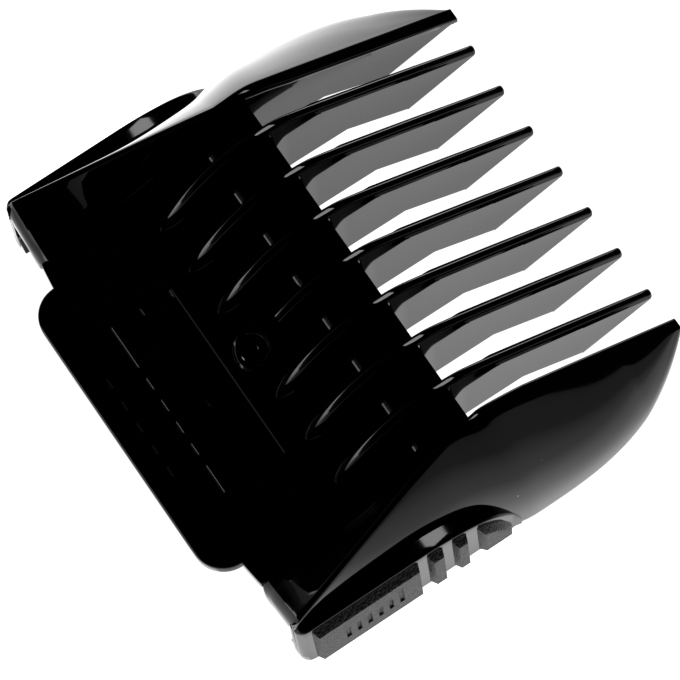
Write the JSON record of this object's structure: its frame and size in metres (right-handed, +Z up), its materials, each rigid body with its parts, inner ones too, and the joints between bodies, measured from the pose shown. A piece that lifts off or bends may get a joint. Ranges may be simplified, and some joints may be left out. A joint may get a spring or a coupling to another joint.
{
  "type": "clipper guide comb",
  "caption": "Clip-on guide comb for a hair clipper: sloping row of guard teeth, curved cheeks, side wings, matte grip pads on the right one, and a sprung rear thumb tab.",
  "frame": {"origin": "middle of the comb's footprint, on the plane that the wings and cheeks rest on", "axes": "+X across the teeth to the comb's right, +Y forward to the tooth tips, +Z up from the resting plane"},
  "size_m": [0.0529, 0.051, 0.0186],
  "materials": {
    "gloss_black": "polished injection-moulded black plastic",
    "matte_pads": "fine spark-eroded texture on the raised pads"
  },
  "bodies": {
    "comb": {"deck": "gloss_black", "front_bar": "gloss_black", "gate_stub": "gloss_black", "tooth_1": "gloss_black", "tooth_2": "gloss_black", "tooth_3": "gloss_black", "tooth_4": "gloss_black", "tooth_5": "gloss_black", "tooth_6": "gloss_black", "tooth_7": "gloss_black", "left_cheek": "gloss_black", "left_outer_tooth": "gloss_black", "left_shoulder": "gloss_black", "left_wing": "gloss_black", "left_latch_hook": "gloss_black", "right_cheek": "gloss_black", "right_outer_tooth": "gloss_black", "right_shoulder": "gloss_black", "right_wing": "gloss_black", "right_size_plate": "matte_pads", "right_grip_rib_rear": "matte_pads", "right_grip_rib_front": "matte_pads", "right_grip_end": "matte_pads", "right_latch_hook": "gloss_black"},
    "tab": {"release_tab": "gloss_black", "tab_line_rear": "gloss_black", "tab_line_middle": "gloss_black", "tab_line_front": "gloss_black", "tab_arrow": "gloss_black", "tab_dashes": "gloss_black"}
  },
  "joints": [
    {"name": "tab_flex", "type": "hinge", "parent": "comb", "child": "tab", "pos_m": [0, -0.0128, 0.0078], "axis": [1, 0, 0], "range_deg": [-1.5, 3], "stiffness_Nm_per_rad": 1.9}
  ]
}
